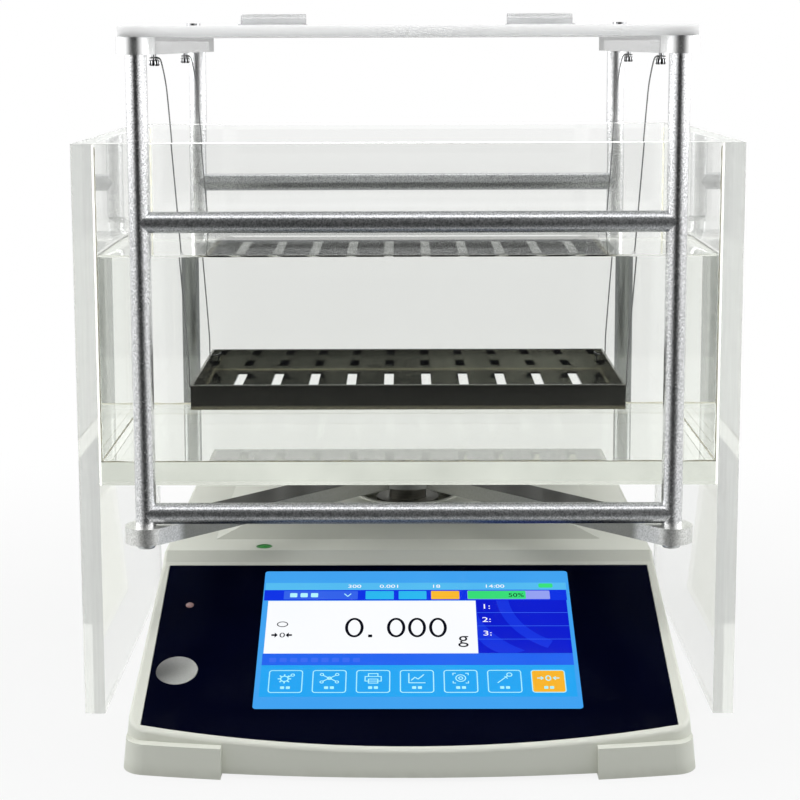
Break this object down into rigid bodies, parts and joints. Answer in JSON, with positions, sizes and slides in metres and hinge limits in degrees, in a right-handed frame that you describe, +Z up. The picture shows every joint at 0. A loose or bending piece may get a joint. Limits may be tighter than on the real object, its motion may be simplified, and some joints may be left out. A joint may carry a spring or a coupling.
{
  "type": "benchtop density meter",
  "caption": "Electronic balance with a touch display, carrying a rod frame that straddles a clear water tank and hangs a slotted basket in the water, under a hinged top plate.",
  "frame": {"origin": "on the bench, under the middle of the whole object's box", "axes": "+Z up, the display faces -Y, +X to the right of someone facing the display"},
  "size_m": [0.32, 0.3369, 0.3444],
  "materials": {
    "housing": "fine satin moulded plastic",
    "tray": "moulded plastic",
    "zinc": "bright zinc plating",
    "panel_glass": "gloss printed overlay",
    "screen": "display module",
    "led": "small lens",
    "board": "solder mask",
    "level": "vial with a green liquid",
    "aluminium": "machined",
    "steel": "turned stainless",
    "black_plastic": "moulded",
    "battery": "shrink wrap",
    "ribbon": "flat cable",
    "acrylic": "clear polished acrylic sheet",
    "cast_frame": "satin",
    "rod": "satin anodised round rod",
    "flat_bar": "satin",
    "opal": "white opal acrylic",
    "clear_screw": "clear nylon",
    "clear_hinge": "clear plastic",
    "basket_steel": "folded stainless sheet",
    "button": "satin dished metal cap",
    "wire": "drawn stainless wire",
    "rubber": "moulded rubber"
  },
  "bodies": {
    "base": {"top_cover": "housing", "base_tray": "tray", "underside_screws": "zinc", "touch_panel": "panel_glass", "screen_module": "screen", "status_led": "led", "power_switch": "board", "level_vial": "level", "load_cell": "aluminium", "load_cell_block": "aluminium", "overload_stop": "steel", "main_board": "board", "socket_board": "board", "power_inlet": "black_plastic", "data_port": "black_plastic", "battery_pack": "battery", "screen_ribbon": "ribbon", "tank_left_wall": "acrylic", "tank_right_wall": "acrylic", "tank_front_wall": "acrylic", "tank_rear_wall": "acrylic", "tank_floor": "acrylic"},
    "weighing_frame": {"spindle": "steel", "dust_collar": "steel", "spider": "cast_frame", "hub_screws": "zinc", "post_front_left": "rod", "post_front_right": "rod", "post_rear_left": "rod", "post_rear_right": "rod", "post_screws": "zinc", "front_lower_bar": "rod", "front_upper_bar": "rod", "rear_lower_bar": "rod", "rear_upper_bar": "rod", "bar_screws": "zinc", "side_bar_left": "flat_bar", "side_bar_right": "flat_bar", "wire_hook_screws": "zinc", "rear_plate": "opal", "rear_plate_screws": "clear_screw", "fixed_hinge_leaves": "clear_hinge", "hinge_pins": "steel"},
    "lid": {"lid_plate": "opal", "lid_hinge_leaves": "clear_hinge"},
    "basket": {"basket": "basket_steel"},
    "button": {"power_button": "button"},
    "wire_front_left": {"wire_front_left": "wire"},
    "wire_front_right": {"wire_front_right": "wire"},
    "wire_rear_left": {"wire_rear_left": "wire"},
    "wire_rear_right": {"wire_rear_right": "wire"},
    "foot_pad_front_left": {"foot_pad_front_left": "rubber"},
    "foot_stud_front_left": {"foot_stud_front_left": "zinc"},
    "foot_pad_front_right": {"foot_pad_front_right": "rubber"},
    "foot_stud_front_right": {"foot_stud_front_right": "zinc"},
    "foot_pad_rear_left": {"foot_pad_rear_left": "rubber"},
    "foot_stud_rear_left": {"foot_stud_rear_left": "zinc"},
    "foot_pad_rear_right": {"foot_pad_rear_right": "rubber"},
    "foot_stud_rear_right": {"foot_stud_rear_right": "zinc"}
  },
  "joints": [
    {"name": "weighing_travel", "type": "slide", "parent": "base", "child": "weighing_frame", "axis": [0, 0, -1], "range_m": [0, 0.0003], "stiffness_N_per_m": 60000, "springref_m": -0.0007},
    {"name": "lid_hinge", "type": "hinge", "parent": "weighing_frame", "child": "lid", "pos_m": [0, 0.112, 0.3404], "axis": [-1, 0, 0], "range_deg": [0, 105]},
    {"name": "basket_sway", "type": "slide", "parent": "weighing_frame", "child": "basket", "axis": [1, 0, 0], "range_m": [-0.004, 0.004], "stiffness_N_per_m": 16},
    {"name": "power_press", "type": "slide", "parent": "base", "child": "button", "axis": [0, 0.3827, -0.9239], "range_m": [0, 0.0012], "stiffness_N_per_m": 1200, "springref_m": -0.0008},
    {"name": "wire_front_left_swing", "type": "hinge", "parent": "weighing_frame", "child": "wire_front_left", "pos_m": [-0.125, -0.0395, 0.32065], "axis": [0, -1, 0], "range_deg": [-1.6, 1.6]},
    {"name": "wire_front_right_swing", "type": "hinge", "parent": "weighing_frame", "child": "wire_front_right", "pos_m": [0.125, -0.0395, 0.32065], "axis": [0, -1, 0], "range_deg": [-1.6, 1.6]},
    {"name": "wire_rear_left_swing", "type": "hinge", "parent": "weighing_frame", "child": "wire_rear_left", "pos_m": [-0.125, 0.0945, 0.32065], "axis": [0, -1, 0], "range_deg": [-1.6, 1.6]},
    {"name": "wire_rear_right_swing", "type": "hinge", "parent": "weighing_frame", "child": "wire_rear_right", "pos_m": [0.125, 0.0945, 0.32065], "axis": [0, -1, 0], "range_deg": [-1.6, 1.6]},
    {"name": "foot_front_left_drop", "type": "slide", "parent": "base", "child": "foot_pad_front_left", "axis": [0, 0, -1], "range_m": [0, 0.005]},
    {"name": "foot_front_left_turn", "type": "hinge", "parent": "foot_pad_front_left", "child": "foot_stud_front_left", "pos_m": [-0.11, -0.1445, 0.005], "axis": [0, 0, 1], "range_deg": [0, 1801]},
    {"name": "foot_front_right_drop", "type": "slide", "parent": "base", "child": "foot_pad_front_right", "axis": [0, 0, -1], "range_m": [0, 0.005]},
    {"name": "foot_front_right_turn", "type": "hinge", "parent": "foot_pad_front_right", "child": "foot_stud_front_right", "pos_m": [0.11, -0.1445, 0.005], "axis": [0, 0, 1], "range_deg": [0, 1801]},
    {"name": "foot_rear_left_drop", "type": "slide", "parent": "base", "child": "foot_pad_rear_left", "axis": [0, 0, -1], "range_m": [0, 0.005]},
    {"name": "foot_rear_left_turn", "type": "hinge", "parent": "foot_pad_rear_left", "child": "foot_stud_rear_left", "pos_m": [-0.11, 0.1195, 0.005], "axis": [0, 0, 1], "range_deg": [0, 1801]},
    {"name": "foot_rear_right_drop", "type": "slide", "parent": "base", "child": "foot_pad_rear_right", "axis": [0, 0, -1], "range_m": [0, 0.005]},
    {"name": "foot_rear_right_turn", "type": "hinge", "parent": "foot_pad_rear_right", "child": "foot_stud_rear_right", "pos_m": [0.11, 0.1195, 0.005], "axis": [0, 0, 1], "range_deg": [0, 1801]}
  ],
  "couplings": [
    {"joint": "wire_front_left_swing", "follows": "basket_sway", "rad_per_m": 6.135},
    {"joint": "wire_front_right_swing", "follows": "basket_sway", "rad_per_m": 6.135},
    {"joint": "wire_rear_left_swing", "follows": "basket_sway", "rad_per_m": 6.135},
    {"joint": "wire_rear_right_swing", "follows": "basket_sway", "rad_per_m": 6.135},
    {"joint": "foot_front_left_turn", "follows": "foot_front_left_drop", "rad_per_m": 6283.2},
    {"joint": "foot_front_right_turn", "follows": "foot_front_right_drop", "rad_per_m": 6283.2},
    {"joint": "foot_rear_left_turn", "follows": "foot_rear_left_drop", "rad_per_m": 6283.2},
    {"joint": "foot_rear_right_turn", "follows": "foot_rear_right_drop", "rad_per_m": 6283.2}
  ]
}
